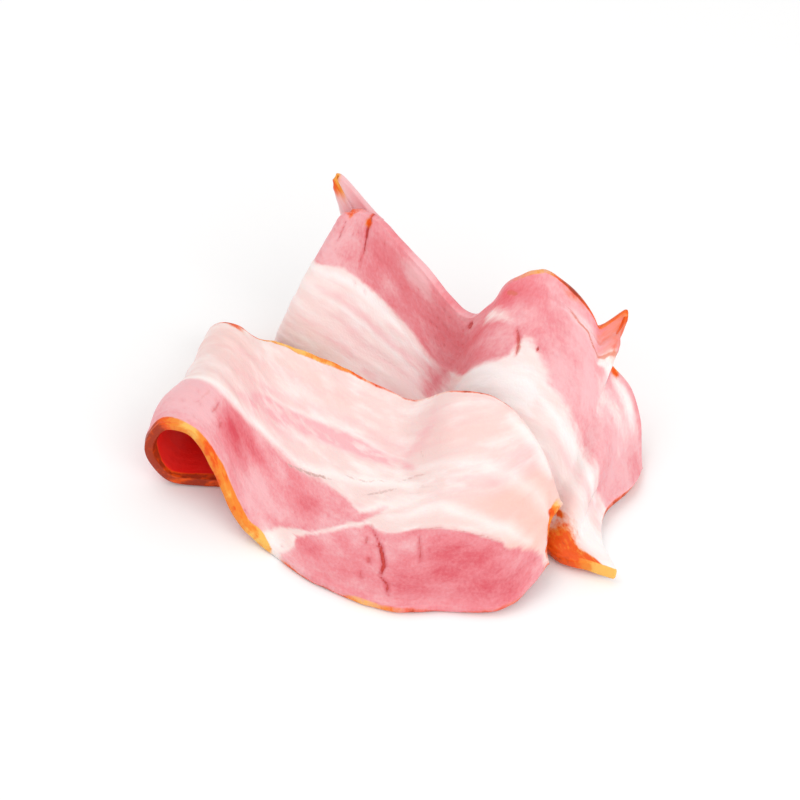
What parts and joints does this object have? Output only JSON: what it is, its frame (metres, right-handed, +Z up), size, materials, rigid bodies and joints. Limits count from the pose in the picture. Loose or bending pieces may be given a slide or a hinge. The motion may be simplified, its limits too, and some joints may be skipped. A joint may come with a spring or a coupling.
{
  "type": "folded bacon rashers",
  "caption": "Small portion of uncooked smoked streaky bacon: thin rashers laid into each other, rolled under at one end and standing in two folds at the back.",
  "frame": {"origin": "middle of the portion's footprint, on the surface it lies on", "axes": "+X to the right along the portion, away from the rolled end; +Y to the back, where the folds stand; +Z up"},
  "size_m": [0.0992, 0.0864, 0.0408],
  "materials": {
    "bacon": "moist cured pork, pink lean and pale fat, slightly glossy"
  },
  "bodies": {
    "root": {"front_rasher": "bacon", "rear_rasher": "bacon"}
  },
  "joints": []
}
